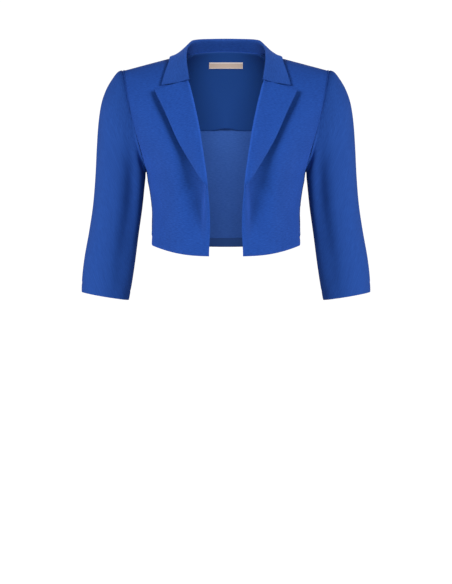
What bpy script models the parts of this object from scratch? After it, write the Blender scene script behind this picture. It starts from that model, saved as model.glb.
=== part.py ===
"""Cropped spencer jacket with notched lapels and three-quarter sleeves, filled out as if worn.

Metres, +Z up. The front faces -Y and +X is the wearer's left. The origin is the middle of the
shoulder line, in the plane of the side and shoulder seams, just under the neck end of those seams.
"""

import math
from collections import namedtuple

import bmesh
import bpy
from mathutils import Vector

# Cloth
CLOTH = 0.0015  # wall of the crepe with its interfacing
DOUBLE = 0.0020  # collar and lapels, two layers turned out
FACING = 0.0012  # facing and hem turn-up
LABEL = 0.0010

# Gaps at the seams
SIDE_GAP = 0.0004  # each panel to the plane of the side and shoulder seams
ARMHOLE_GAP = 0.0014  # sleeve to panels, whose walls lean towards each other here
LAPEL_GAP = 0.0005  # lapel to the edge of its front
COLLAR_GAP = 0.0009  # stand to the neck seam
FACING_GAP = 0.0008  # facing and hem turn-up to the back
LABEL_GAP = 0.0016  # label to the facing

# Shoulder line, seen from the front
NECK_X, NECK_Z = 0.0770, 0.0065
TIP_X, TIP_Z = 0.1930, -0.0240
NECK_ROUND = 0.0200  # softens the line across the middle of the neck
NECK_RISE = 0.0585  # how far the nape stands over the shoulder line
NECK_ACROSS, TIP_ACROSS = math.hypot(NECK_X, NECK_ROUND), math.hypot(TIP_X, NECK_ROUND)
SHOULDER_SLOPE = (NECK_Z - TIP_Z) / (TIP_ACROSS - NECK_ACROSS)

# Armhole, an egg-shaped loop from the shoulder tip to the underarm and back
UNDERARM_X, UNDERARM_Z = 0.1475, -0.2110
ARMHOLE_HALF_DEPTH = 0.0540
ARMHOLE_EGG = 0.18  # how much fuller the loop is below its middle
ARMHOLE_BOW = 0.0030  # how far the seam bows outwards between its ends

# Torso
BUST_Z, BLADE_Z = -0.2350, -0.1500  # where the front and the back are fullest
FRONT_POWER, BACK_POWER = 2.2, 2.6  # squareness of the horizontal sections
HEM_FRONT_Z, HEM_SIDE_Z, HEM_BACK_Z = -0.3665, -0.3485, -0.3550
TIP_SKIP = 0.0020  # the width stays the same from this far below the shoulder tip
HEM_BELLY = 0.0050  # how far the front hem curves below a straight line
NAPE_Z = 0.0150  # neck seam at the centre back

Section = namedtuple("Section", "height half_width front back")
BODY = (
    Section(-0.380, 0.1402, 0.0985, 0.0870),
    Section(-0.350, 0.1393, 0.1000, 0.0870),
    Section(-0.315, 0.1375, 0.1040, 0.0875),
    Section(-0.279, 0.1376, 0.1090, 0.0890),
    Section(-0.249, 0.1412, 0.1130, 0.0910),
    Section(-0.225, 0.1455, 0.1150, 0.0925),
    Section(UNDERARM_Z, UNDERARM_X, 0.1155, 0.0930),
    Section(-0.197, 0.1510, 0.1155, 0.0930),
)

# Inner edge of a front: its straight edge, the roll of the lapel, then the neck seam
Edge = namedtuple("Edge", "height x")
FRONT_EDGE = (
    Edge(HEM_FRONT_Z, 0.0312),
    Edge(-0.2995, 0.0292),
    Edge(-0.2411, 0.0335),
    Edge(-0.1805, 0.0436),
    Edge(-0.1372, 0.0510),
    Edge(-0.0914, 0.0605),
    Edge(-0.0430, 0.0718),
    Edge(-0.0180, 0.0762),
    Edge(NECK_Z, NECK_X),
)
FLARE_HEIGHT, FLARE_SPREAD = -0.2300, 0.0750  # where the roll pushes the front edge out
FLARE_OUT, FLARE_WIDTH = 0.0090, 0.0170
TROUGH_IN, TROUGH_AWAY, TROUGH_WIDTH = 0.0045, 0.0360, 0.0170  # soft hollow beside that flare

# Lapel
BREAK_Z, GORGE_Z = -0.2380, -0.0456  # ends of the roll line
LAPEL_FOLD, BREAK_FOLD = 0.0025, 0.0014  # inner radius of the roll at the gorge and the break
LAPEL_TIP_LIFT = 0.0045  # how far the outer edge floats off the chest
LapelEdge = namedtuple("LapelEdge", "x height")
LAPEL_EDGE = (
    LapelEdge(0.0385, -0.2380),
    LapelEdge(0.0537, -0.2062),
    LapelEdge(0.0864, -0.1549),
    LapelEdge(0.1149, -0.1006),
    LapelEdge(0.1318, -0.0621),
)

# Collar: the top of the stand, and the outer edge seen from above, from the nape to the gorge
Collar = namedtuple("Collar", "seam_x seam_height roll_x roll_y roll_z edge_x edge_y")
COLLAR = (
    Collar(0.0000, NAPE_Z, 0.0000, 0.0610, 0.0345, 0.0000, 0.0735),
    Collar(0.0450, 0.0121, 0.0445, 0.0450, 0.0325, 0.0590, 0.0525),
    Collar(NECK_X, NECK_Z, 0.0690, 0.0040, 0.0225, 0.0985, 0.0080),
    Collar(0.0762, -0.0180, 0.0725, -0.0480, -0.0040, 0.1060, -0.0330),
    Collar(0.0718, -0.0428, 0.0680, -0.0730, -0.0405, 0.1179, -0.0620),
)
SHOULDER_ROW = 2  # row of that table at the shoulder seam
COLLAR_ROLL = 0.0042  # radius of the roll on its visible side
COLLAR_LIFT = 0.0045  # visible face of the outer edge above the shoulder
COLLAR_SINK = 0.0015  # how far the fall sinks between its roll and its edge

# Sleeve rings, each by its outer and inner point seen from the front
Ring = namedtuple("Ring", "outer_x outer_z inner_x inner_z half_depth forward")
SLEEVE = (
    Ring(TIP_X, TIP_Z, UNDERARM_X, UNDERARM_Z, ARMHOLE_HALF_DEPTH, 0.0000),
    Ring(0.2010, -0.0272, 0.1492, -0.2116, 0.0555, 0.0000),
    Ring(0.2110, -0.0400, 0.1502, -0.2124, 0.0570, 0.0000),
    Ring(0.2220, -0.0590, 0.1507, -0.2138, 0.0580, 0.0000),
    Ring(0.2310, -0.0850, 0.1510, -0.2158, 0.0585, 0.0000),
    Ring(0.2365, -0.1210, 0.1513, -0.2188, 0.0585, 0.0000),
    Ring(0.2397, -0.1660, 0.1518, -0.2240, 0.0580, 0.0005),
    Ring(0.2425, -0.2220, 0.1535, -0.2390, 0.0565, 0.0020),
    Ring(0.2468, -0.2740, 0.1575, -0.2780, 0.0540, 0.0050),
    Ring(0.2540, -0.3230, 0.1645, -0.3285, 0.0510, 0.0090),
    Ring(0.2620, -0.3680, 0.1705, -0.3760, 0.0475, 0.0140),
    Ring(0.2665, -0.4050, 0.1760, -0.4140, 0.0445, 0.0180),
    Ring(0.2678, -0.4352, 0.1823, -0.4500, 0.0420, 0.0210),
)
CAP_RINGS = 6  # rings over which the armhole's egg shape fades into an oval
FOLD_TURN, FOLD_SPREAD = 2.10, 0.34  # soft fold down the inner front of the sleeve, radians
FOLD_IN, FOLD_RING, FOLD_RINGS = 0.0060, 8.2, 2.9

# Pieces that show inside the back; rows and columns count the back's own grid
FACING_Z = -0.1337  # lower edge of the back facing at the centre
FACING_BUCKLE, FACING_BUCKLE_HALF = 0.0035, 0.0200  # where that edge stands off the back
FACING_COLUMN, HEM_COLUMN = 3, 1  # columns left free at each side
NECK_MARGIN, SHOULDER_MARGIN = 0.15, 2  # rows that the facing stays below the neck and shoulder seams
HEM_DEPTH, HEM_RAISE = 0.0170, 0.0006  # height of the turn-up, and its start above the fold
LABEL_WIDTH, LABEL_HEIGHT, LABEL_TOP_Z = 0.0660, 0.0118, -0.0046

# Mesh
SIDE_ROWS, ARMHOLE_ROWS, PANEL_COLUMNS = 7, 12, 13
PANEL_ROWS = SIDE_ROWS + ARMHOLE_ROWS
SLEEVE_ROWS, SLEEVE_COLUMNS = 16, 2 * ARMHOLE_ROWS
FACING_ROW = SIDE_ROWS + 5
LAPEL_ROWS, LAPEL_COLUMNS, FOLD_COLUMNS = 11, 10, 4
COLLAR_COLUMNS, COLLAR_ROWS = 30, 12
SIDE_SHARE = SIDE_ROWS / PANEL_ROWS

BLUE, BLUE_INSIDE, LABEL_BEIGE = (0.021, 0.080, 0.392), (0.027, 0.082, 0.310), (0.56, 0.45, 0.40)


# Curves and tables
def spline(values, at):
    """Point on a Catmull-Rom curve through values, where at counts them from 0."""
    last = len(values) - 1
    i = max(0, min(last - 1, int(at)))
    before, start = values[max(0, i - 1)], values[i]
    end, after = values[i + 1], values[min(last, i + 2)]
    f = at - i
    leave, arrive = (end - before) / 2, (after - start) / 2
    return (
        start * (2 * f**3 - 3 * f**2 + 1)
        + leave * (f**3 - 2 * f**2 + f)
        + end * (3 * f**2 - 2 * f**3)
        + arrive * (f**3 - f**2)
    )


def read(table, column, height):
    """Smooth value of one column of a table whose rows rise in height."""
    heights = [row.height for row in table]
    height = max(heights[0], min(heights[-1], height))
    i = max(k for k in range(len(heights) - 1) if heights[k] <= height)
    share = (height - heights[i]) / (heights[i + 1] - heights[i])
    return spline([getattr(row, column) for row in table], i + share)


def mix(a, b, share):
    return a + (b - a) * share


def bell(distance, width):
    return math.exp(-((distance / width) ** 2))


# The figure that fills the jacket out
def ridge(x):
    """Height of the shoulder line, which rises into the nape inside the neck."""
    across = math.hypot(x, NECK_ROUND) - NECK_ACROSS
    inside = max(0.0, 1 - (x / NECK_X) ** 2)
    return NECK_Z - SHOULDER_SLOPE * across + NECK_RISE * inside**2


def armhole(turn):
    """Reach, height and half depth of the armhole; turn is 0 at the tip and pi at the underarm."""
    share = (1 - math.cos(turn)) / 2
    reach = mix(TIP_X, UNDERARM_X, share) + ARMHOLE_BOW * math.sin(math.pi * share)
    half_depth = ARMHOLE_HALF_DEPTH * math.sin(turn) * (1 - ARMHOLE_EGG * math.cos(turn))
    return reach, mix(TIP_Z, UNDERARM_Z, share), half_depth


def armhole_at(height):
    share = max(0.0, min(1.0, (TIP_Z - height) / (TIP_Z - UNDERARM_Z)))
    return armhole(math.acos(1 - 2 * share))


def rounding(x, height, level):
    """How much of its full depth the figure keeps towards the shoulder line."""
    up = (height - level) / (ridge(x) - level)
    up = max(0.0, min(1.0, up))
    return math.sqrt(1 - up * up)


def depth(x, height, front):
    """Distance of the front or the back from the plane of the side and shoulder seams."""
    level, power = (BUST_Z, FRONT_POWER) if front else (BLADE_Z, BACK_POWER)
    full = read(BODY, "front" if front else "back", height)
    if height <= UNDERARM_Z:
        half_width = read(BODY, "half_width", height)
    else:
        below_tip = min(height, TIP_Z - TIP_SKIP)
        reach, _, hole = armhole_at(below_tip)
        share = hole / (full * rounding(reach, below_tip, level))
        half_width = reach / (1 - share**power) ** (1 / power)
    across = min(1.0, abs(x) / half_width)
    return full * (1 - across**power) ** (1 / power) * rounding(x, height, level)


def flare(x, height):
    """The roll of the lapel pushes the front edge out and leaves a soft hollow beside it."""
    away = abs(x) - read(FRONT_EDGE, "x", height)
    window = bell(height - FLARE_HEIGHT, FLARE_SPREAD)
    return window * (
        FLARE_OUT * bell(away, FLARE_WIDTH) - TROUGH_IN * bell(away - TROUGH_AWAY, TROUGH_WIDTH)
    )


def chest(x, height):
    """Point of the outer face of a front."""
    return Vector((x, -depth(x, height, True) - flare(x, height), height))


def spine(x, height):
    """Point of the outer face of the back."""
    return Vector((x, depth(x, height, False), height))


def outward(surface, x, height):
    step = 0.0005
    across = surface(x + step, height) - surface(x - step, height)
    up = surface(x, height + step) - surface(x, height - step)
    normal = across.cross(up).normalized()
    return normal if surface is chest else -normal


def lay_height(x, y):
    """Height of the shoulder's surface over a point seen from above."""
    low, high = (BUST_Z if y < 0 else BLADE_Z), ridge(x)
    for _ in range(40):
        middle = (low + high) / 2
        if depth(x, middle, y < 0) > abs(y):
            low = middle
        else:
            high = middle
    return low


# Outlines of the panels, seen from the front
def patch(bottom, top, inner, outer):
    """Coons patch between four outlines, each a function from 0 to 1 to (x, height)."""
    corners = (bottom(0), bottom(1), top(0), top(1))

    def place(s, t):
        def one(k):
            ruled = mix(bottom(s)[k], top(s)[k], t) + mix(inner(t)[k], outer(t)[k], s)
            low, high = mix(corners[0][k], corners[1][k], s), mix(corners[2][k], corners[3][k], s)
            return ruled - mix(low, high, t)

        return one(0), one(1)

    return place


def towards_side(s):
    """Columns close up towards the side, where the cloth turns away."""
    return math.sin(s * math.pi / 2)


def outer_edge(t):
    """Side seam from the hem to the underarm, then the armhole up to the shoulder tip."""
    if t <= SIDE_SHARE:
        height = mix(HEM_SIDE_Z, UNDERARM_Z, t / SIDE_SHARE)
        return read(BODY, "half_width", height), height
    turn = math.pi * (1 - (t - SIDE_SHARE) / (1 - SIDE_SHARE))
    reach, height, _ = armhole(turn)
    return reach, height


def climb(t, hem, top):
    """Height along an inner edge, level with the outer edge below and closing up at the top."""
    if t <= SIDE_SHARE:
        return mix(hem, UNDERARM_Z, t / SIDE_SHARE)
    share = (t - SIDE_SHARE) / (1 - SIDE_SHARE)
    return mix(UNDERARM_Z, top, math.sin(share * math.pi / 2))


def front_inner(t):
    height = climb(t, HEM_FRONT_Z, NECK_Z)
    return read(FRONT_EDGE, "x", height), height


def front_hem(s):
    share = towards_side(s)
    sag = HEM_BELLY * math.sin(math.pi * share)
    half_width = read(BODY, "half_width", HEM_SIDE_Z)
    return mix(front_inner(0)[0], half_width, share), mix(HEM_FRONT_Z, HEM_SIDE_Z, share) - sag


def shoulder_seam(s):
    x = mix(NECK_X, TIP_X, towards_side(s))
    return x, ridge(x)


front_place = patch(front_hem, shoulder_seam, front_inner, outer_edge)


def back_middle(t):
    """Centre back, whose rows stay level with the armhole's so that the facing ends on one."""
    if t <= SIDE_SHARE:
        return 0.0, mix(HEM_BACK_Z, UNDERARM_Z, t / SIDE_SHARE)

    def rise(row):
        return (1 - math.cos(math.pi * (row - SIDE_ROWS) / ARMHOLE_ROWS)) / 2

    wanted = (FACING_Z - UNDERARM_Z) / (NAPE_Z - UNDERARM_Z)
    power = math.log(wanted) / math.log(rise(FACING_ROW))
    return 0.0, mix(UNDERARM_Z, NAPE_Z, rise(t * PANEL_ROWS) ** power)


def back_hem(s):
    share = towards_side(s)
    return share * read(BODY, "half_width", HEM_SIDE_Z), mix(HEM_BACK_Z, HEM_SIDE_Z, share**2)


def neck_seam(x):
    return mix(NAPE_Z, NECK_Z, (x / NECK_X) ** 2)


def back_top(s):
    """Neck seam from the nape to the shoulder, then the shoulder seam to the tip."""
    x = TIP_X * towards_side(s)
    return (x, neck_seam(x)) if x < NECK_X else (x, ridge(x))


back_place = patch(back_hem, back_top, back_middle, outer_edge)


# Meshes
def material(name, colour, roughness):
    made = bpy.data.materials.new(name)
    made.use_nodes = True
    shader = made.node_tree.nodes["Principled BSDF"]
    shader.inputs["Base Color"].default_value = (*colour, 1)
    shader.inputs["Roughness"].default_value = roughness
    shader.inputs["Metallic"].default_value = 0
    return made


def cloth(name, point, columns, rows, thickness, finish, flip=False, tube=False):
    """A wall of cloth. Its face is a grid laid out by point(s, t), and its thickness lies behind."""
    mesh = bpy.data.meshes.new(name)
    form = bmesh.new()
    bmesh.ops.create_grid(form, x_segments=columns, y_segments=rows, size=1)
    for corner in form.verts:
        s, t = (corner.co.x + 1) / 2, (corner.co.y + 1) / 2
        corner.co = point(s, t)
    if tube:
        bmesh.ops.remove_doubles(form, verts=form.verts[:], dist=1e-5)
    if flip:
        bmesh.ops.reverse_faces(form, faces=form.faces[:])
    form.to_mesh(mesh)
    form.free()
    mesh.shade_smooth()
    mesh.materials.append(finish)
    made = bpy.data.objects.new(name, mesh)
    wall = made.modifiers.new("wall", "SOLIDIFY")
    wall.thickness = thickness
    wall.offset = -1
    wall.use_quality_normals = True
    jacket.objects.link(made)
    return made


# Pieces; side is 1 on the wearer's left and -1 on the right
def front_panel(side):
    def point(s, t):
        x, height = front_place(s, t)
        found = chest(x, height)
        found.y -= SIDE_GAP
        found.x *= side
        return found

    return point


def back_panel(s, t):
    across = 2 * s - 1
    x, height = back_place(abs(across), t)
    found = spine(x, height)
    found.y += SIDE_GAP
    found.x = math.copysign(x, across)
    return found


def sleeve(side):
    def point(s, t):
        turn = 2 * math.pi * s
        at = t * (len(SLEEVE) - 1)
        ring = Ring(*(spline([getattr(row, name) for row in SLEEVE], at) for name in Ring._fields))
        middle = Vector((ring.outer_x + ring.inner_x, 0, ring.outer_z + ring.inner_z)) / 2
        half = Vector((ring.outer_x - ring.inner_x, 0, ring.outer_z - ring.inner_z)) / 2
        egg = max(0.0, 1 - at / CAP_RINGS) ** 2
        share = (1 - math.cos(turn)) / 2
        fold = FOLD_IN * bell(turn - FOLD_TURN, FOLD_SPREAD) * bell(at - FOLD_RING, FOLD_RINGS)
        inwards = 1 - fold / ring.half_depth
        fullness = ring.half_depth * math.sin(turn) * (1 - egg * ARMHOLE_EGG * math.cos(turn))
        found = middle + half * math.cos(turn) * inwards
        found.x += egg * ARMHOLE_BOW * math.sin(math.pi * share)
        found.y = -ring.forward - fullness * inwards
        found += ARMHOLE_GAP * egg * armhole_way_out()
        found.x *= side
        return found

    return point


def armhole_way_out():
    """Unit vector out of the armhole, square to its slant seen from the front."""
    return Vector((TIP_Z - UNDERARM_Z, 0, UNDERARM_X - TIP_X)).normalized()


def lapel(side):
    """A lapel's under face, from the front's edge round the roll and out over the chest."""
    share_of_fold = FOLD_COLUMNS / LAPEL_COLUMNS

    def roll(t):
        height = mix(BREAK_Z, GORGE_Z, t)
        return read(FRONT_EDGE, "x", height), height

    def point(s, t):
        x, height = roll(t)
        at = t * (len(LAPEL_EDGE) - 1)
        edge_x = spline([row.x for row in LAPEL_EDGE], at)
        edge_z = spline([row.height for row in LAPEL_EDGE], at)
        fold = mix(BREAK_FOLD, LAPEL_FOLD, math.sin(t * math.pi / 2))
        out = outward(chest, x, height)
        along = Vector((edge_x - x, 0, edge_z - height))
        along = (along - out * along.dot(out)).normalized()
        if s <= share_of_fold:
            turn = math.pi * (s / share_of_fold - 0.5)
            base = chest(x, height) - along * LAPEL_GAP
            ring = out * (1 + math.sin(turn)) - along * math.cos(turn)
            found = base + fold * ring
        else:
            away = (s - share_of_fold) / (1 - share_of_fold)
            here_x, here_z = mix(x, edge_x, away), mix(height, edge_z, away)
            lift = mix(2 * fold, LAPEL_TIP_LIFT, away)
            found = chest(here_x, here_z) + lift * outward(chest, here_x, here_z)
        found.x *= side
        return found

    return point


def clear_of_shoulder(point, lift):
    """The point, moved out square to the shoulder's surface where it lies closer than lift."""
    step = 0.001
    x, y = point.x, point.y
    slope_x = (lay_height(x + step, y) - lay_height(x - step, y)) / (2 * step)
    slope_y = (lay_height(x, y + step) - lay_height(x, y - step)) / (2 * step)
    square = Vector((-slope_x, -slope_y, 1)).normalized()
    gap = (point.z - lay_height(x, y)) * square.z
    return point + square * max(0.0, lift - gap)


def collar(s, t):
    """A collar's visible face, from the neck seam up the stand, round the roll and down the fall."""
    last = len(COLLAR) - 1
    at = 2 * last * s
    rows = [c._replace(seam_x=-c.seam_x, roll_x=-c.roll_x, edge_x=-c.edge_x) for c in COLLAR[:0:-1]]
    rows += COLLAR
    row = Collar(*(spline([getattr(c, name) for c in rows], at) for name in Collar._fields))
    in_front = abs(at - last) > SHOULDER_ROW
    seam = chest(row.seam_x, row.seam_height) if in_front else spine(row.seam_x, row.seam_height)
    roll = Vector((row.roll_x, row.roll_y, row.roll_z))
    edge = Vector((row.edge_x, row.edge_y, lay_height(row.edge_x, row.edge_y)))
    edge = clear_of_shoulder(edge, COLLAR_LIFT)
    up = (roll - seam).normalized()
    out = edge - roll
    out = (out - up * out.dot(up)).normalized()
    seam += up * COLLAR_GAP
    centre = roll + out * COLLAR_ROLL
    arc = [
        centre + COLLAR_ROLL * (up * math.sin(turn) - out * math.cos(turn))
        for turn in (0, math.pi / 3, 2 * math.pi / 3)
    ]
    falls = [arc[-1].lerp(edge, share) for share in (1 / 3, 2 / 3)]
    falls = [clear_of_shoulder(fall - COLLAR_SINK * up, COLLAR_LIFT) for fall in falls]
    section = [seam, (seam + roll) / 2, *arc, *falls, edge]
    return spline(section, t * (len(section) - 1))


def inside_back(x, height, behind):
    """Point that lies behind the outer face of the back by that distance."""
    return spine(x, height) - outward(spine, x, height) * behind


def behind_back(column, row, behind):
    """Point behind one of the back's facets; column and row count its grid from the wearer's right hem."""
    columns = 2 * PANEL_COLUMNS
    first_column, first_row = min(columns - 1, int(column)), min(PANEL_ROWS - 1, int(row))

    def corner(i, j):
        return back_panel((first_column + i) / columns, (first_row + j) / PANEL_ROWS)

    across, up = column - first_column, row - first_row
    low, high = corner(0, 0).lerp(corner(1, 0), across), corner(0, 1).lerp(corner(1, 1), across)
    step = 0.25
    s, t = column / columns, min(row, PANEL_ROWS - step) / PANEL_ROWS
    s = max(step / columns, min(1 - step / columns, s))
    t = max(step / PANEL_ROWS, t)
    sideways = back_panel(s + step / columns, t) - back_panel(s - step / columns, t)
    upwards = back_panel(s, t + step / PANEL_ROWS) - back_panel(s, t - step / PANEL_ROWS)
    return low.lerp(high, up) + sideways.cross(upwards).normalized() * behind


def back_facing(s, t):
    """Inside of the back from the facing's lower edge up to just below the neck and shoulder seams."""
    column = mix(FACING_COLUMN, 2 * PANEL_COLUMNS - FACING_COLUMN, s)
    x = back_panel(column / (2 * PANEL_COLUMNS), 1).x
    top = PANEL_ROWS - (NECK_MARGIN if abs(x) < NECK_X else SHOULDER_MARGIN)
    row = mix(FACING_ROW, top, t)
    buckle = FACING_BUCKLE * bell(x, FACING_BUCKLE_HALF) * (1 - t) ** 3
    return behind_back(column, row, CLOTH + FACING_GAP + FACING + buckle)


def back_hem_turn_up(s, t):
    column = mix(HEM_COLUMN, 2 * PANEL_COLUMNS - HEM_COLUMN, s)
    rows_per_metre = SIDE_ROWS / (UNDERARM_Z - HEM_SIDE_Z)
    return behind_back(column, rows_per_metre * mix(HEM_RAISE, HEM_DEPTH, t), CLOTH + FACING_GAP + FACING)


def label(s, t):
    x = (s - 0.5) * LABEL_WIDTH
    height = LABEL_TOP_Z - LABEL_HEIGHT * (1 - t)
    return inside_back(x, height, CLOTH + FACING_GAP + FACING + LABEL_GAP + LABEL)


for old in list(bpy.data.objects):
    bpy.data.objects.remove(old)
jacket = bpy.data.collections.new("spencer_jacket")
bpy.context.scene.collection.children.link(jacket)

crepe = material("royal_blue_crepe", BLUE, 0.75)
wrong_side = material("crepe_wrong_side", BLUE_INSIDE, 0.80)
woven_label = material("woven_label", LABEL_BEIGE, 0.60)

for side, hand in ((1, "left"), (-1, "right")):
    mirrored = side < 0
    cloth(f"front_{hand}", front_panel(side), PANEL_COLUMNS, PANEL_ROWS, CLOTH, crepe, mirrored)
    cloth(f"sleeve_{hand}", sleeve(side), SLEEVE_COLUMNS, SLEEVE_ROWS, CLOTH, crepe, not mirrored, True)
    cloth(f"lapel_{hand}", lapel(side), LAPEL_COLUMNS, LAPEL_ROWS, DOUBLE, crepe, not mirrored)
cloth("back", back_panel, 2 * PANEL_COLUMNS, PANEL_ROWS, CLOTH, crepe, True)
cloth("collar", collar, COLLAR_COLUMNS, COLLAR_ROWS, DOUBLE, crepe)
facing_columns = 2 * (PANEL_COLUMNS - FACING_COLUMN)
cloth("back_facing", back_facing, facing_columns, PANEL_ROWS - FACING_ROW, FACING, wrong_side)
cloth("back_hem", back_hem_turn_up, 2 * (PANEL_COLUMNS - HEM_COLUMN), 1, FACING, wrong_side)
cloth("label", label, 6, 2, LABEL, woven_label)
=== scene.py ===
"""Looks of a cropped spencer jacket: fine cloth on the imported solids, stitches, stage and camera.

Metres, +Z up. The front faces -Y and +X is the wearer's left.
"""

import math
from collections import namedtuple
from functools import lru_cache, partial

import bmesh
import bpy
import numpy as np
from bpy.props import FloatProperty, FloatVectorProperty, PointerProperty
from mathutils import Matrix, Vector


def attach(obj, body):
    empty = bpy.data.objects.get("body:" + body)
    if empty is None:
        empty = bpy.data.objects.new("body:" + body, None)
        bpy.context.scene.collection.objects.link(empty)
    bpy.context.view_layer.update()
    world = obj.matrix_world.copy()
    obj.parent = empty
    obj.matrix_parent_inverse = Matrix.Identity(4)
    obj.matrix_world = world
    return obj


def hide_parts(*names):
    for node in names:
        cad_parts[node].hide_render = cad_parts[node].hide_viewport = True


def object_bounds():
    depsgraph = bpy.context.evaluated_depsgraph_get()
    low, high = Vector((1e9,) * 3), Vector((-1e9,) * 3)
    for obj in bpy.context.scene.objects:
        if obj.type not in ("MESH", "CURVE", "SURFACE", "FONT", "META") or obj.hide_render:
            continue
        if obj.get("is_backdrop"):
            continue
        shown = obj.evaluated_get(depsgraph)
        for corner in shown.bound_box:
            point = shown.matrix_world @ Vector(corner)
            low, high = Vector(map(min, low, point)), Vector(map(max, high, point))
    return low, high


bl_info = {
    "name": "Spencer Jacket",
    "version": (1, 0, 0),
    "blender": (4, 5, 0),
    "location": "View3D > Sidebar > Jacket",
    "description": "Builds a cropped jacket with notched lapels as sewn cloth",
    "category": "Object",
}

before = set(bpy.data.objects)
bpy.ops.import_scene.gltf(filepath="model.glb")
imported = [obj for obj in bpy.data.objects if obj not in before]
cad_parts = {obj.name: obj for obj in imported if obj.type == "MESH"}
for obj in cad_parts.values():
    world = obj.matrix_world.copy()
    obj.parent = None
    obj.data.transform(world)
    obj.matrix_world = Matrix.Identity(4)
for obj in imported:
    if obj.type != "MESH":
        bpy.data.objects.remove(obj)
CAD_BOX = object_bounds()

# Shoulder line, seen from the front
NECK_X, NECK_Z = 0.0770, 0.0065
TIP_X, TIP_Z = 0.1930, -0.0240
NECK_ROUND, NECK_RISE = 0.0200, 0.0585
NECK_ACROSS, TIP_ACROSS = math.hypot(NECK_X, NECK_ROUND), math.hypot(TIP_X, NECK_ROUND)
SHOULDER_SLOPE = (NECK_Z - TIP_Z) / (TIP_ACROSS - NECK_ACROSS)

# Armhole, an egg-shaped loop from the shoulder tip to the underarm and back
UNDERARM_X, UNDERARM_Z = 0.1475, -0.2110
ARMHOLE_HALF_DEPTH, ARMHOLE_EGG, ARMHOLE_BOW = 0.0540, 0.18, 0.0030

# Torso
BUST_Z, BLADE_Z = -0.2350, -0.1500
FRONT_POWER, BACK_POWER = 2.2, 2.6
HEM_FRONT_Z, HEM_SIDE_Z, HEM_BACK_Z = -0.3665, -0.3485, -0.3550
TIP_SKIP, HEM_BELLY, NAPE_Z = 0.0020, 0.0050, 0.0150
SIDE_SHARE = 7 / 19  # part of a panel's rows that lies below the underarm

Section = namedtuple("Section", "height half_width front back")
BODY = (
    Section(-0.380, 0.1402, 0.0985, 0.0870),
    Section(-0.350, 0.1393, 0.1000, 0.0870),
    Section(-0.315, 0.1375, 0.1040, 0.0875),
    Section(-0.279, 0.1376, 0.1090, 0.0890),
    Section(-0.249, 0.1412, 0.1130, 0.0910),
    Section(-0.225, 0.1455, 0.1150, 0.0925),
    Section(UNDERARM_Z, UNDERARM_X, 0.1155, 0.0930),
    Section(-0.197, 0.1510, 0.1155, 0.0930),
)

# Inner edge of a front: its straight edge, the roll of the lapel, then the neck seam
Edge = namedtuple("Edge", "height x")
FRONT_EDGE = (
    Edge(HEM_FRONT_Z, 0.0312),
    Edge(-0.2995, 0.0292),
    Edge(-0.2411, 0.0335),
    Edge(-0.1805, 0.0436),
    Edge(-0.1372, 0.0510),
    Edge(-0.0914, 0.0605),
    Edge(-0.0430, 0.0718),
    Edge(-0.0180, 0.0762),
    Edge(NECK_Z, NECK_X),
)
FLARE_HEIGHT, FLARE_SPREAD = -0.2300, 0.0750
FLARE_OUT, FLARE_WIDTH = 0.0090, 0.0170
TROUGH_IN, TROUGH_AWAY, TROUGH_WIDTH = 0.0045, 0.0360, 0.0170

# Lapel, which here runs out to nothing at the break
BREAK_Z, GORGE_Z = -0.2400, -0.0456
LAPEL_FOLD, BREAK_FOLD, BREAK_WALL = 0.0025, 0.0004, 0.25
LAPEL_TIP_LIFT, LAPEL_GAP, BREAK_RUN = 0.0052, 0.0003, 0.16
FOLD_SHARE, FOLD_GROWTH = 0.34, 0.6  # part of its columns round the roll, and how the roll grows
LapelEdge = namedtuple("LapelEdge", "x height")
LAPEL_EDGE = (
    LapelEdge(0.0343, -0.2400),
    LapelEdge(0.0537, -0.2062),
    LapelEdge(0.0864, -0.1549),
    LapelEdge(0.1112, -0.1006),
    LapelEdge(0.1295, -0.0636),
)

# Collar: neck seam, top of the stand, and the outer edge seen from above, from the nape to the gorge
Collar = namedtuple("Collar", "seam_x seam_height roll_x roll_y roll_z edge_x edge_y")
COLLAR = (
    Collar(0.0000, NAPE_Z, 0.0000, 0.0610, 0.0328, 0.0000, 0.0735),
    Collar(0.0450, 0.0121, 0.0480, 0.0435, 0.0322, 0.0600, 0.0520),
    Collar(NECK_X, NECK_Z, 0.0690, 0.0040, 0.0200, 0.0985, 0.0080),
    Collar(0.0762, -0.0180, 0.0725, -0.0480, -0.0040, 0.1060, -0.0330),
    Collar(0.0718, -0.0428, 0.0680, -0.0730, -0.0405, 0.1179, -0.0620),
)
SHOULDER_ROW, COLLAR_UNDER = 2, 0.0020
COLLAR_ROLL, COLLAR_LIFT, COLLAR_SINK = 0.0042, 0.0045, 0.0045
# The lapel sinks where it is joined to the collar, whose ends reach under it, less at the notch
GORGE_SINK, GORGE_SPREAD, GORGE_SEAM = 0.0025, 0.0070, 0.75
GORGE_REACH, REACH_RUN, NOTCH_AT, NOTCH_SHARE = 0.200, 0.25, 0.60, 0.30

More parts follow.
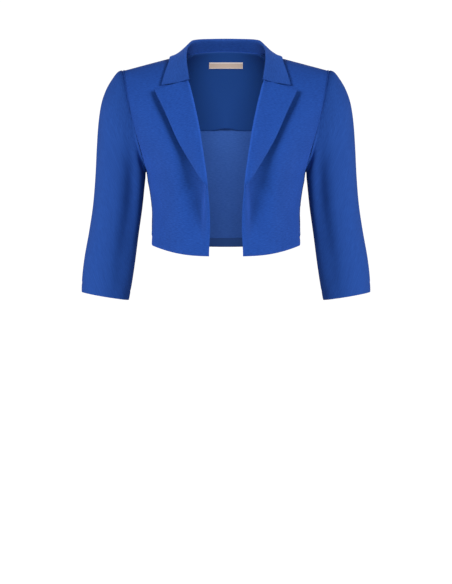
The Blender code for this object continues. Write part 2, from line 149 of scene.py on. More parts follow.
# Sleeve rings, each by its outer and inner point seen from the front
Ring = namedtuple("Ring", "outer_x outer_z inner_x inner_z half_depth forward")
SLEEVE = (
    Ring(TIP_X, TIP_Z, UNDERARM_X, UNDERARM_Z, ARMHOLE_HALF_DEPTH, 0.0000),
    Ring(0.2010, -0.0272, 0.1492, -0.2116, 0.0555, 0.0000),
    Ring(0.2110, -0.0400, 0.1502, -0.2124, 0.0570, 0.0000),
    Ring(0.2220, -0.0590, 0.1507, -0.2138, 0.0580, 0.0000),
    Ring(0.2310, -0.0850, 0.1510, -0.2158, 0.0585, 0.0000),
    Ring(0.2365, -0.1210, 0.1513, -0.2188, 0.0585, 0.0000),
    Ring(0.2397, -0.1660, 0.1518, -0.2240, 0.0580, 0.0005),
    Ring(0.2425, -0.2220, 0.1535, -0.2390, 0.0565, 0.0020),
    Ring(0.2468, -0.2740, 0.1575, -0.2780, 0.0540, 0.0050),
    Ring(0.2540, -0.3230, 0.1645, -0.3285, 0.0510, 0.0090),
    Ring(0.2620, -0.3680, 0.1705, -0.3760, 0.0475, 0.0140),
    Ring(0.2665, -0.4050, 0.1760, -0.4140, 0.0445, 0.0180),
    Ring(0.2678, -0.4352, 0.1823, -0.4500, 0.0420, 0.0210),
)
CAP_RINGS = 6  # rings over which the sleeve loses the armhole's egg shape
FOLD_TURN, FOLD_SPREAD = 2.10, 0.34  # fold in front of the elbow
FOLD_IN, FOLD_RING, FOLD_RINGS = 0.0060, 8.2, 2.9
UNDERARM_FOLD, UNDERARM_STEP, UNDERARM_WIDTH = 0.0075, 0.0035, 0.0110  # fold along the armhole
UNDERARM_AT, UNDERARM_UP, UNDERARM_DOWN = 0.91, 0.085, 0.055  # its place and reach round the sleeve
UNDERARM_BACK = 0.6  # share of its depth behind
TUCK_RINGS, TUCK_IN = 0.40, 0.0022  # sleeve head, tucked under the armhole's edge
HEAD_SPREAD = 0.65  # how far round from the shoulder the tuck keeps its depth
SLEEVE_SEAM, CUFF_ROLL = 0.6, 0.5  # shares of a seam's dip and of an edge's roll

# Pieces that show inside the back
FACING_Z, FACING_SIDE_Z = -0.1337, -0.1417
FACING_BUCKLE, FACING_BUCKLE_HALF, FACING_RISE = 0.0045, 0.0170, 0.0034
FACING_REACH, FACING_HOLD, HOLD_FROM = 0.1490, 0.0500, 0.75
NECK_MARGIN, SHOULDER_MARGIN = 0.0010, 0.0150
MARGIN_FROM, MARGIN_RUN = 0.8, 0.3  # where the margin widens, in half widths of the neck
HEM_DEPTH, HEM_RAISE, HEM_REACH = 0.0170, 0.0006, 0.1330
LABEL_WIDTH, LABEL_HEIGHT, LABEL_TOP_Z = 0.0660, 0.0118, -0.0046
LABEL_HEM, LABEL_SELVEDGE = 0.0011, (0.0022, 0.0012)  # from its edge to the stitches and the denser weave
LAY_GAP = 0.0003  # between layers that lie on each other

# Creases, as lines seen from the front or the back: soft troughs, or ridges where depth is negative
Crease = namedtuple("Crease", "x0 z0 x1 z1 bow width depth")
CREASE_TAPER = 0.8  # how blunt their ends are
SLEEVE_FRONT_CREASES = (
    Crease(0.1790, -0.1300, 0.1705, -0.4700, 0.012, 0.0160, 0.0041),
    Crease(0.1640, -0.1250, 0.1765, -0.4300, 0.0075, 0.0090, -0.0062),
)
SLEEVE_BACK_CREASES = (
    Crease(0.1830, -0.1500, 0.2000, -0.3300, -0.006, 0.0120, 0.0030),
    Crease(0.2300, -0.2450, 0.1850, -0.2780, 0.004, 0.0090, 0.0016),
    Crease(0.2380, -0.2900, 0.1900, -0.3120, -0.003, 0.0080, 0.0012),
)
FRONT_CREASES = (
    Crease(0.1330, -0.1450, 0.1210, -0.2350, -0.004, 0.0090, 0.0012),
)
BACK_CREASES = (
    Crease(0.1450, -0.1300, 0.1000, -0.2900, 0.008, 0.0140, 0.0020),
    Crease(0.0250, -0.1900, 0.0420, -0.3550, 0.004, 0.0170, 0.0014),
)

# Hollow of a front along the lapel's outer edge, which the lapel stands clear of
Hollow = namedtuple("Hollow", "height x depth reach_out reach_in")
HOLLOWS = (
    Hollow(-0.350, 0.0480, 0.0000, 0.028, 0.008),
    Hollow(-0.300, 0.0490, 0.0075, 0.028, 0.008),
    Hollow(-0.264, 0.0495, 0.0115, 0.027, 0.007),
    Hollow(-0.228, 0.0465, 0.0102, 0.025, 0.006),
    Hollow(-0.190, 0.0630, 0.0068, 0.018, 0.010),
    Hollow(-0.153, 0.0855, 0.0045, 0.013, 0.010),
    Hollow(-0.116, 0.1050, 0.0034, 0.010, 0.010),
    Hollow(-0.078, 0.1255, 0.0024, 0.009, 0.009),
    Hollow(-0.045, 0.1310, 0.0000, 0.008, 0.009),
)

# Fineness: columns and rows of each piece's grid, rounded edges, and points along the stitched lines
FRONT_GRID, BACK_GRID, SLEEVE_GRID = (64, 96), (120, 96), (112, 190)
LAPEL_GRID, COLLAR_GRID = (60, 100), (160, 60)
FACING_GRID, HEM_GRID, LABEL_GRID = (100, 48), (100, 6), (40, 10)
EDGE_ROUND, EDGE_ANGLE = 0.35, 55  # share of the wall, less on fine grids, and the least angle
LABEL_STEPS, HEM_STEPS = 24, 120
STITCH_SHARE = 0.7  # length of a stitch in its step
HEM_INSET, HEM_LINE = 0.01, 0.97  # ends and height of the hem's stitches on the turn-up
HANDS = ((1, "left"), (-1, "right"))

# Camera, five metres in front, with the photograph's frame
FRAME_HEIGHT, PIXEL = 584, 0.00187
CAMERA_AWAY, CAMERA_Z, AIM_Z, SENSOR = 5.0, -0.1900, -0.4366, 0.036

# Studio: a lamp off the middle has a twin, and each of the two is named for the half that it lights
FLOOR_Z, FLOOR_HALF, FLOOR_GLOW = -1.37, 14.0, 0.85
AMBIENT, BACKDROP = 0.22, 1.05
LAMP_AIM = Vector((0, 0, -0.2))
WHITE, WARM = "FFFFFF", "FFEADC"
Lamp = namedtuple("Lamp", "name x y z width height watts tone group alone")
LAMPS = (
    Lamp("front", 0.0, -4.0, -0.1, 1.4, 1.2, 28, WHITE, "", False),
    Lamp("sleeve", 2.1, -3.0, -0.7, 1.2, 1.2, 92, WARM, "sleeve", False),
    Lamp("cross", -2.1, -2.15, 0.75, 1.2, 1.2, 93, WHITE, "front", False),
    Lamp("fill", 2.8, -0.1, -1.3, 1.2, 1.0, 66, WHITE, "front", True),
    Lamp("collar", 0.0, -2.1, 2.8, 1.2, 1.0, 96, WARM, "collar", False),
    Lamp("inside", 0.0, -2.4, 1.5, 2.4, 1.0, 60, WHITE, "inside", False),
    Lamp("side", 2.2, 0.5, -0.1, 1.6, 1.8, 10, WHITE, "", False),
    Lamp("behind", 0.0, 3.0, 1.0, 2.4, 1.6, 40, WHITE, "", False),
)
LIT_INSIDE = ("back", "back_facing", "back_hem", "label")


def srgb(code):
    """Linear colour of an sRGB hex value."""
    parts = [int(code[i : i + 2], 16) / 255 for i in (0, 2, 4)]
    linear = [p / 12.92 if p <= 0.04045 else ((p + 0.055) / 1.055) ** 2.4 for p in parts]
    return (*linear, 1.0)


def length(name, description, millimetres):
    settings = {"default": millimetres / 1000, "min": 0.0, "precision": 5, "unit": "LENGTH"}
    return FloatProperty(name=name, description=description, **settings)


def colour(name, description, code):
    settings = {"default": srgb(code), "size": 4, "min": 0.0, "max": 1.0, "subtype": "COLOR"}
    return FloatVectorProperty(name=name, description=description, **settings)


class JacketSizes(bpy.types.PropertyGroup):
    wall: length("Cloth", "Thickness of the crepe with its interfacing", 1.5)
    double_wall: length("Double cloth", "Thickness of the collar and the lapels", 2.0)
    facing_wall: length("Facing", "Thickness of the facing and the hem turn-up", 1.2)
    label_wall: length("Label", "Thickness of the woven label", 0.8)
    seam_dip: length("Seam dip", "How far the cloth sinks at a seam", 0.4)
    seam_width: length("Seam width", "Half width of that dip", 1.4)
    edge_dip: length("Edge roll", "How far a pressed edge rolls under", 0.7)
    edge_width: length("Edge roll width", "Half width of that roll", 2.4)
    hem_dip: length("Hem line", "Depth of the line where a hem is caught", 0.5)
    stitch: length("Stitch", "Length of a stitch with its gap", 2.2)
    hem_stitch: length("Hem stitch", "Distance between the stitches of the hem", 7.0)
    thread: length("Thread", "Radius of the sewing thread", 0.22)
    grain: length("Grain", "Width of a pebble of the crepe", 1.6)


class JacketColours(bpy.types.PropertyGroup):
    crepe: colour("Crepe", "Right side of the cloth", "2657B6")
    crepe_deep: colour("Crepe, deep", "Valleys of the crepe's grain", "1C469A")
    inside: colour("Wrong side", "Wrong side of the cloth", "406CBF")
    inside_deep: colour("Wrong side, deep", "Valleys of the wrong side", "355EAE")
    # the facing's colour is the crepe made darker: painted shade for the inside of the back
    facing: colour("Facing", "Right side of the cloth where it faces the wearer", "1D4890")
    # the hem's colour is the wrong side's colour made darker: painted shade for the turn-up
    hem: colour("Hem", "Cloth turned up at the hem, where no light comes through", "2F5292")
    label: colour("Label", "Woven label", "DDC4B2")
    label_edge: colour("Label edge", "Woven edges of the label", "F2E4DC")
    thread: colour("Thread", "Sewing thread of the hems", "24479A")
    floor: colour("Floor", "Floor under the jacket", "F4F4F2")


# Curves and tables
def spline(values, at):
    """Point on a Catmull-Rom curve through values, where at counts them from 0."""
    last = len(values) - 1
    i = max(0, min(last - 1, int(at)))
    before, start = values[max(0, i - 1)], values[i]
    end, after = values[i + 1], values[min(last, i + 2)]
    f = at - i
    leave, arrive = (end - before) / 2, (after - start) / 2
    return (
        start * (2 * f**3 - 3 * f**2 + 1)
        + leave * (f**3 - 2 * f**2 + f)
        + end * (3 * f**2 - 2 * f**3)
        + arrive * (f**3 - f**2)
    )


@lru_cache(maxsize=None)
def column_of(table, name):
    return tuple(getattr(row, name) for row in table)


def read(table, name, height):
    """Smooth value of one column of a table whose rows rise in height."""
    heights = column_of(table, "height")
    height = max(heights[0], min(heights[-1], height))
    i = max(k for k in range(len(heights) - 1) if heights[k] <= height)
    share = (height - heights[i]) / (heights[i + 1] - heights[i])
    return spline(column_of(table, name), i + share)


def mix(a, b, share):
    return a + (b - a) * share


def ease(share):
    share = max(0.0, min(1.0, share))
    return share * share * (3 - 2 * share)


def bell(distance, width):
    return math.exp(-((distance / width) ** 2))


# The figure that fills the jacket out
def ridge(x):
    """Height of the shoulder line, which rises into the nape inside the neck."""
    across = math.hypot(x, NECK_ROUND) - NECK_ACROSS
    inside = max(0.0, 1 - (x / NECK_X) ** 2)
    return NECK_Z - SHOULDER_SLOPE * across + NECK_RISE * inside**2


def armhole(turn):
    """Reach, height and half depth of the armhole; turn is 0 at the tip and pi at the underarm."""
    share = (1 - math.cos(turn)) / 2
    reach = mix(TIP_X, UNDERARM_X, share) + ARMHOLE_BOW * math.sin(math.pi * share)
    half_depth = ARMHOLE_HALF_DEPTH * math.sin(turn) * (1 - ARMHOLE_EGG * math.cos(turn))
    return reach, mix(TIP_Z, UNDERARM_Z, share), half_depth


def armhole_at(height):
    share = max(0.0, min(1.0, (TIP_Z - height) / (TIP_Z - UNDERARM_Z)))
    return armhole(math.acos(1 - 2 * share))


def rounding(x, height, level):
    """How much of its full depth the figure keeps towards the shoulder line."""
    up = (height - level) / (ridge(x) - level)
    up = max(0.0, min(1.0, up))
    return math.sqrt(1 - up * up)


@lru_cache(maxsize=None)
def girth(height, front):
    """Full depth and half width of the front or the back at that height."""
    level, power = (BUST_Z, FRONT_POWER) if front else (BLADE_Z, BACK_POWER)
    full = read(BODY, "front" if front else "back", height)
    if height <= UNDERARM_Z:
        return full, read(BODY, "half_width", height)
    below_tip = min(height, TIP_Z - TIP_SKIP)
    reach, _, hole = armhole_at(below_tip)
    share = hole / (full * rounding(reach, below_tip, level))
    return full, reach / (1 - share**power) ** (1 / power)


def depth(x, height, front):
    """Distance of the front or the back from the plane of the side and shoulder seams."""
    level, power = (BUST_Z, FRONT_POWER) if front else (BLADE_Z, BACK_POWER)
    full, half_width = girth(height, front)
    across = min(1.0, abs(x) / half_width)
    return full * (1 - across**power) ** (1 / power) * rounding(x, height, level)


def flare(x, height):
    """The roll of the lapel pushes the front edge out and leaves a soft hollow beside it."""
    away = abs(x) - read(FRONT_EDGE, "x", height)
    window = bell(height - FLARE_HEIGHT, FLARE_SPREAD)
    return window * (
        FLARE_OUT * bell(away, FLARE_WIDTH) - TROUGH_IN * bell(away - TROUGH_AWAY, TROUGH_WIDTH)
    )


def chest(x, height):
    """Point of the outer face of a front."""
    return Vector((x, -depth(x, height, True) - flare(x, height), height))


def spine(x, height):
    """Point of the outer face of the back."""
    return Vector((x, depth(x, height, False), height))


def outward(surface, x, height):
    step = 0.0005
    across = surface(x + step, height) - surface(x - step, height)
    up = surface(x, height + step) - surface(x, height - step)
    normal = across.cross(up).normalized()
    return normal if surface is chest else -normal


def lay_height(x, y):
    """Height of the shoulder's surface over a point seen from above."""
    low, high = (BUST_Z if y < 0 else BLADE_Z), ridge(x)
    for _ in range(26):
        middle = (low + high) / 2
        if depth(x, middle, y < 0) > abs(y):
            low = middle
        else:
            high = middle
    return low


# Outlines of the panels, seen from the front
def patch(bottom, top, inner, outer):
    """Coons patch between four outlines, each a function from 0 to 1 to (x, height)."""
    corners = (bottom(0), bottom(1), top(0), top(1))

    def place(s, t):
        low, high, near, far = bottom(s), top(s), inner(t), outer(t)

        def one(k):
            ruled = mix(low[k], high[k], t) + mix(near[k], far[k], s)
            below, above = mix(corners[0][k], corners[1][k], s), mix(corners[2][k], corners[3][k], s)
            return ruled - mix(below, above, t)

        return one(0), one(1)

    return place


def towards_side(s):
    """Columns close up towards the side, where the cloth turns away."""
    return math.sin(s * math.pi / 2)


def outer_edge(t):
    """Side seam from the hem to the underarm, then the armhole up to the shoulder tip."""
    if t <= SIDE_SHARE:
        height = mix(HEM_SIDE_Z, UNDERARM_Z, t / SIDE_SHARE)
        return read(BODY, "half_width", height), height
    turn = math.pi * (1 - (t - SIDE_SHARE) / (1 - SIDE_SHARE))
    reach, height, _ = armhole(turn)
    return reach, height


def climb(t, hem, top):
    """Height along an inner edge, level with the outer edge below and closing up at the top."""
    if t <= SIDE_SHARE:
        return mix(hem, UNDERARM_Z, t / SIDE_SHARE)
    share = (t - SIDE_SHARE) / (1 - SIDE_SHARE)
    return mix(UNDERARM_Z, top, math.sin(share * math.pi / 2))


def front_inner(t):
    height = climb(t, HEM_FRONT_Z, NECK_Z)
    return read(FRONT_EDGE, "x", height), height


def front_hem(s):
    share = towards_side(s)
    sag = HEM_BELLY * math.sin(math.pi * share)
    half_width = read(BODY, "half_width", HEM_SIDE_Z)
    return mix(front_inner(0)[0], half_width, share), mix(HEM_FRONT_Z, HEM_SIDE_Z, share) - sag


def shoulder_seam(s):
    x = mix(NECK_X, TIP_X, towards_side(s))
    return x, ridge(x)


def back_middle(t):
    return 0.0, climb(t, HEM_BACK_Z, NAPE_Z)


def back_hem_line(s):
    share = towards_side(s)
    return share * read(BODY, "half_width", HEM_SIDE_Z), mix(HEM_BACK_Z, HEM_SIDE_Z, share**2)


def neck_seam(x):
    return mix(NAPE_Z, NECK_Z, (x / NECK_X) ** 2)


def back_top(s):
    """Neck seam from the nape to the shoulder, then the shoulder seam to the tip."""
    x = TIP_X * towards_side(s)
    return (x, neck_seam(x)) if x < NECK_X else (x, ridge(x))


front_place = patch(front_hem, shoulder_seam, front_inner, outer_edge)
back_place = patch(back_hem_line, back_top, back_middle, outer_edge)


# Faces of the pieces, each a function of s across and t up
def front_face(s, t):
    return chest(*front_place(s, t))


def back_face(s, t):
    across = 2 * s - 1
    x, height = back_place(abs(across), t)
    found = spine(x, height)
    found.x = math.copysign(x, across)
    return found


def sleeve_face(s, t):
    """Round the sleeve from the underarm seam, and from under the armhole's edge to the cuff."""
    turn = 2 * math.pi * s - math.pi
    at = mix(-TUCK_RINGS, len(SLEEVE) - 1, t)
    ring = Ring(*(spline(column_of(SLEEVE, name), at) for name in Ring._fields))
    middle = Vector((ring.outer_x + ring.inner_x, 0, ring.outer_z + ring.inner_z)) / 2
    half = Vector((ring.outer_x - ring.inner_x, 0, ring.outer_z - ring.inner_z)) / 2
    egg = max(0.0, 1 - max(0.0, at) / CAP_RINGS) ** 2
    share = (1 - math.cos(turn)) / 2
    fold = FOLD_IN * bell(turn - FOLD_TURN, FOLD_SPREAD) * bell(at - FOLD_RING, FOLD_RINGS)
    inwards = 1 - fold / ring.half_depth
    fullness = ring.half_depth * math.sin(turn) * (1 - egg * ARMHOLE_EGG * math.cos(turn))
    found = middle + half * math.cos(turn) * inwards
    found.x += egg * ARMHOLE_BOW * math.sin(math.pi * share)
    found.y = -ring.forward - fullness * inwards
    return found


def lapel_face(s, t):
    """Under face of a lapel, from the front's edge round the roll and out over the chest."""
    height = mix(BREAK_Z, GORGE_Z, t)
    x = read(FRONT_EDGE, "x", height)
    at = t * (len(LAPEL_EDGE) - 1)
    edge_x, edge_z = spline(column_of(LAPEL_EDGE, "x"), at), spline(column_of(LAPEL_EDGE, "height"), at)
    fold = mix(BREAK_FOLD, LAPEL_FOLD, math.sin(t * math.pi / 2) ** FOLD_GROWTH)
    out = outward(chest, x, height)
    along = Vector((edge_x - x, 0, edge_z - height))
    along = (along - out * along.dot(out)).normalized()
    if s <= FOLD_SHARE:
        turn = math.pi * (s / FOLD_SHARE - 0.5)
        base = chest(x, height) - along * LAPEL_GAP
        return base + fold * (out * (1 + math.sin(turn)) - along * math.cos(turn))
    away = (s - FOLD_SHARE) / (1 - FOLD_SHARE)
    here_x, here_z = mix(x, edge_x, away), mix(height, edge_z, away)
    tip_lift = mix(BREAK_FOLD, LAPEL_TIP_LIFT, ease(t / BREAK_RUN))
    lift = mix(2 * fold, tip_lift, away)
    return chest(here_x, here_z) + lift * outward(chest, here_x, here_z)


def clear_of_shoulder(point, lift):
    """The point, moved out square to the shoulder's surface where it lies closer than lift."""
    step = 0.001
    x, y = point.x, point.y
    slope_x = (lay_height(x + step, y) - lay_height(x - step, y)) / (2 * step)
    slope_y = (lay_height(x, y + step) - lay_height(x, y - step)) / (2 * step)
    square = Vector((-slope_x, -slope_y, 1)).normalized()
    gap = (point.z - lay_height(x, y)) * square.z
    return point + square * max(0.0, lift - gap)


@lru_cache(maxsize=None)
def collar_rows():
    """The collar's rows from one end to the other, and the way each row's stand leans."""
    mirrored = [c._replace(seam_x=-c.seam_x, roll_x=-c.roll_x, edge_x=-c.edge_x) for c in COLLAR[:0:-1]]
    rows = (*mirrored, *COLLAR)
    leans = []
    for k, row in enumerate(rows):
        rise = Vector((row.roll_x, row.roll_y, row.roll_z)) - collar_seam(row, k)
        leans.append(rise.normalized())
    return rows, leans


def collar_seam(row, at):
    surface = chest if abs(at - len(COLLAR) + 1) > SHOULDER_ROW else spine
    return surface(row.seam_x, row.seam_height)


@lru_cache(maxsize=None)
def collar_section(at):
    """Points up the stand, round the roll and down the fall; at counts the rows from one end."""
    rows, leans = collar_rows()
    row = Collar(*(spline(column_of(rows, name), at) for name in Collar._fields))
    seam = collar_seam(row, at)
    roll = Vector((row.roll_x, row.roll_y, row.roll_z))
    edge = Vector((row.edge_x, row.edge_y, lay_height(row.edge_x, row.edge_y)))
    edge = clear_of_shoulder(edge, COLLAR_LIFT)
    up = spline(leans, at).normalized()
    out = edge - roll
    out = (out - up * out.dot(up)).normalized()
    seam -= up * COLLAR_UNDER
    centre = roll + out * COLLAR_ROLL
    arc = [
        centre + COLLAR_ROLL * (up * math.sin(turn) - out * math.cos(turn))
        for turn in (0, math.pi / 3, 2 * math.pi / 3)
    ]
    falls = [arc[-1].lerp(edge, share) for share in (1 / 3, 2 / 3)]
    falls = [clear_of_shoulder(fall - COLLAR_SINK * up, COLLAR_LIFT) for fall in falls]
    return [seam, (seam + roll) / 2, *arc, *falls, edge]


def collar_face(s, t):
    """Visible face of the collar, whose ends reach on to the lapels as far as the notch."""
    last = len(COLLAR) - 1
    here = collar_section(2 * last * s)
    found = spline(here, t * (len(here) - 1))
    to_end = abs(2 * s - 1) * last - (last - 1)
    if to_end > 0:
        reach = GORGE_REACH * ease(t / REACH_RUN) * ease(to_end)
        reach *= mix(NOTCH_SHARE, 1, ease((1 - t) / (1 - NOTCH_AT)))
        beyond = collar_section(2 * last * s + math.copysign(GORGE_REACH, s - 0.5))
        found = found.lerp(spline(beyond, t * (len(beyond) - 1)), reach / GORGE_REACH)
    return found


def inside_back(x, height, behind):
    """Point that lies behind the outer face of the back by that distance."""
    return spine(x, height) - outward(spine, x, height) * behind


def facing_face(sizes, s, t):
    x = mix(-FACING_REACH, FACING_REACH, s)
    side = abs(x) / FACING_REACH
    rise = FACING_RISE * math.exp(-((x / FACING_BUCKLE_HALF) ** 4))
    low = mix(FACING_Z, FACING_SIDE_Z, side**2) + rise
    seam = neck_seam(x) if abs(x) < NECK_X else ridge(x)
    outside = ease((abs(x) - MARGIN_FROM * NECK_X) / (MARGIN_RUN * NECK_X))
    margin = mix(NECK_MARGIN, SHOULDER_MARGIN, outside)
    hold = mix(0.0, FACING_HOLD, ease((side - HOLD_FROM) / (1 - HOLD_FROM)))
    height = mix(low, seam - margin - hold, t)
    buckle = FACING_BUCKLE * bell(x, FACING_BUCKLE_HALF) * (1 - t) ** 3
    return inside_back(x, height, sizes.wall + LAY_GAP + sizes.facing_wall + buckle)


def hem_face(sizes, s, t):
    x = mix(-HEM_REACH, HEM_REACH, s)
    share = abs(x) / read(BODY, "half_width", HEM_SIDE_Z)
    height = mix(HEM_BACK_Z, HEM_SIDE_Z, share**2) + mix(HEM_RAISE, HEM_DEPTH, t)
    return inside_back(x, height, sizes.wall + LAY_GAP + sizes.facing_wall)


def label_face(sizes, s, t):
    behind = sizes.wall + 2 * LAY_GAP + sizes.facing_wall + sizes.label_wall
    height = LABEL_TOP_Z - LABEL_HEIGHT * (1 - t)
    return inside_back((s - 0.5) * LABEL_WIDTH, height, behind)


# Grids of points
def lay(point, columns, rows):
    across = [i / columns for i in range(columns + 1)]
    return np.array([[point(s, j / rows) for s in across] for j in range(rows + 1)])


def walk(grid, axis):
    """Distance walked over the cloth along its rows (axis 1) or up its columns (axis 0)."""
    steps = np.linalg.norm(np.diff(grid, axis=axis), axis=2)
    start = np.zeros_like(np.take(steps, [0], axis=axis))
    return np.concatenate([start, np.cumsum(steps, axis=axis)], axis=axis)


def square_to(grid, tube=False):
    """Unit vectors square to the cloth, on the side that an unturned grid faces."""
    across = np.gradient(grid, axis=1)
    if tube:
        across[:, 0] = across[:, -1] = grid[:, 1] - grid[:, -2]
    normal = np.cross(across, np.gradient(grid, axis=0))
    return normal / np.maximum(1e-12, np.linalg.norm(normal, axis=2, keepdims=True))


def soft(distance, width):
    return np.exp(-((distance / width) ** 2))


def dipped(depth, width, *distances):
    """Depth of a dip along the lines that the distances are measured from."""
    return depth * np.max([soft(distance, width) for distance in distances], axis=0)


def creased(grid, out, creases, way):
    """Depth of the creases over a grid, on faces that look forwards (way -1) or backwards (way 1)."""
    facing = np.clip(out[:, :, 1] * way * 2, 0, 1)
    total = np.zeros(grid.shape[:2])
    for crease in creases:
        run_x, run_z = crease.x1 - crease.x0, crease.z1 - crease.z0
        span = math.hypot(run_x, run_z)
        off_x, off_z = np.abs(grid[:, :, 0]) - crease.x0, grid[:, :, 2] - crease.z0
        along = np.clip((off_x * run_x + off_z * run_z) / span**2, 0, 1)
        aside = (off_x * run_z - off_z * run_x) / span - crease.bow * np.sin(math.pi * along)
        total += crease.depth * soft(aside, crease.width) * np.sin(math.pi * along) ** CREASE_TAPER
    return total * facing


def hollowed(grid):
    """Depth of the hollow along the lapel's edge over the grid of a front."""
    found = {
        name: np.vectorize(lambda height, name=name: read(HOLLOWS, name, height))(grid[:, :, 2])
        for name in Hollow._fields
    }
    aside = np.abs(grid[:, :, 0]) - found["x"]
    return found["depth"] * soft(aside, np.where(aside > 0, found["reach_out"], found["reach_in"]))


# Objects
def set_inputs(tree, node, inputs):
    """Sets a node's inputs, or links them to a socket or to another node's first output."""
    for name, value in inputs.items():
        if isinstance(value, bpy.types.Node):
            value = next(socket for socket in value.outputs if socket.enabled)
        if isinstance(value, bpy.types.NodeSocket):
            tree.links.new(value, node.inputs[name])
        else:
            node.inputs[name].default_value = value


def add_node(tree, kind, inputs=None, **settings):
    """A node with its settings made and its inputs set or linked."""
    node = tree.nodes.new(kind)
    for name, value in settings.items():
        setattr(node, name, value)
    set_inputs(tree, node, inputs or {})
    return node


def add_object(name, data):
    made = bpy.data.objects.new(name, data)
    bpy.context.scene.collection.objects.link(made)
    return made


def plain(made):
    """Turns an object with modifiers into a plain mesh."""
    bpy.context.view_layer.update()
    done = made.evaluated_get(bpy.context.evaluated_depsgraph_get())
    made.data = bpy.data.meshes.new_from_object(done)
    made.modifiers.clear()
    return made


def sew(name, grid, finishes, wall, flip=False, tube=False, thin=None):
    """A wall of cloth on a grid of points, with its weave laid along the cloth in metres."""
    rows, columns = grid.shape[0] - 1, grid.shape[1] - 1
    along, up = walk(grid, 1), walk(grid, 0)
    form = bmesh.new()
    bmesh.ops.create_grid(form, x_segments=columns, y_segments=rows, size=1)
    weave = form.loops.layers.uv.new("weave")
    thickness = form.verts.layers.deform.verify()
    for corner in form.verts:
        i, j = round((corner.co.x + 1) / 2 * columns), round((corner.co.y + 1) / 2 * rows)
        corner.co = grid[j, i]
        corner[thickness][0] = 1.0 if thin is None else thin[j, i]
        for loop in corner.link_loops:
            loop[weave].uv = along[j, i], up[j, i]
    if tube:
        bmesh.ops.remove_doubles(form, verts=form.verts[:], dist=1e-5)
    if flip:
        bmesh.ops.reverse_faces(form, faces=form.faces[:])
    mesh = bpy.data.meshes.new(name)
    form.to_mesh(mesh)
    form.free()
    mesh.shade_smooth()
    for finish in finishes:
        mesh.materials.append(finish)
    made = add_object(name, mesh)
    made.vertex_groups.new(name="thickness")
    shell = made.modifiers.new("wall", "SOLIDIFY")
    shell.thickness = wall
    shell.offset = -1
    shell.use_quality_normals = True
    shell.vertex_group = "thickness"
    shell.material_offset = len(finishes) - 1
    rounded = made.modifiers.new("edge", "BEVEL")
    rounded.width = wall * EDGE_ROUND
    rounded.segments = 2
    rounded.limit_method = "ANGLE"
    rounded.angle_limit = math.radians(EDGE_ANGLE)
    return plain(made)


def sunk(base, out, dip):
    """The grid, let in by a depth at each point."""
    return base - out * dip[:, :, None]


def sew_both(part, grid, finishes, wall, turned=1, **more):
    """The left piece and then its mirror image, each with its hand."""
    for side, hand in HANDS:
        name = f"{part}_{hand}_cloth"
        yield hand, sew(name, grid * (side, 1, 1), finishes, wall, flip=side * turned < 0, **more)


def settle(made, node):
    """Puts a piece in the place of its solid, which it hides, and links it to the lamps of its group."""
    lit("inside" if node in LIT_INSIDE else node.replace("lapel", "front")).objects.link(made)
    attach(made, "root")
    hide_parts(node)


# Materials
def new_material(name):
    """A material with its node tree and its shader."""
    made = bpy.data.materials.new(name)
    made.use_nodes = True
    return made, made.node_tree, made.node_tree.nodes["Principled BSDF"]


def cloth_material(context, name, light, deep, bump, sheen):
    """Crepe: hard-twisted yarn woven plain, so matt, with a fine pebble drawn out along the weft."""
    if name in bpy.data.materials:
        return bpy.data.materials[name]
    made, tree, shader = new_material(name)
    place = add_node(tree, "ShaderNodeUVMap", uv_map="weave")
    # the real pebble is about 0.4 mm, too fine for the render, so it is drawn coarser
    pebble = context.scene.jacket_sizes.grain
    stretch = (0.25 / pebble, 1.0 / pebble, 1.0)
    weft = add_node(tree, "ShaderNodeMapping", {"Vector": place, "Scale": stretch})
    pebbled = {"Vector": weft, "Scale": 1.0, "Detail": 2.0, "Roughness": 0.6}
    grain = add_node(tree, "ShaderNodeTexNoise", pebbled)
    cloud = add_node(tree, "ShaderNodeTexNoise", {"Vector": place, "Scale": 28.0, "Detail": 1.0})
    blend = add_node(tree, "ShaderNodeMath", {0: cloud, 1: 0.2, 2: grain}, operation="MULTIPLY_ADD")
    spread = add_node(tree, "ShaderNodeMapRange", {"Value": blend, "From Min": 0.35, "From Max": 0.85})
    shade = add_node(tree, "ShaderNodeMix", {"Factor": spread, "A": deep, "B": light}, data_type="RGBA")
    relief = add_node(tree, "ShaderNodeBump", {"Height": grain, "Strength": bump, "Distance": 0.0004})
    looks = {
        "Base Color": shade,
        "Normal": relief,
        "Roughness": 0.85,
        "Specular IOR Level": 0.15,
        "Sheen Weight": sheen,
        "Sheen Roughness": 0.5,
        "Sheen Tint": srgb("8FA6E0"),
    }
    set_inputs(tree, shader, looks)
    return made


def crepe(context):
    """Right side, royal blue and matt, with a little bloom where it turns away."""
    tints = context.scene.jacket_colours
    return cloth_material(context, "royal_blue_crepe", tints.crepe, tints.crepe_deep, 0.30, 0.04)


def wrong_side(context):
    """Wrong side, paler and flatter than the face."""
    tints = context.scene.jacket_colours
    return cloth_material(context, "crepe_wrong_side", tints.inside, tints.inside_deep, 0.22, 0.05)


def facing_cloth_painted_shade(context):
    """The same cloth, right side in, pressed flat with its interfacing, in a darker colour that paints
    the shade inside the back.
    """
    tints = context.scene.jacket_colours
    return cloth_material(context, "interfaced_crepe", tints.facing, tints.facing, 0.18, 0.05)


def turned_cloth_painted_shade(context):
    """The same cloth turned up on itself, in a darker colour that paints the shade at the hem."""
    tints = context.scene.jacket_colours
    return cloth_material(context, "turned_up_crepe", tints.hem, tints.hem, 0.22, 0.05)


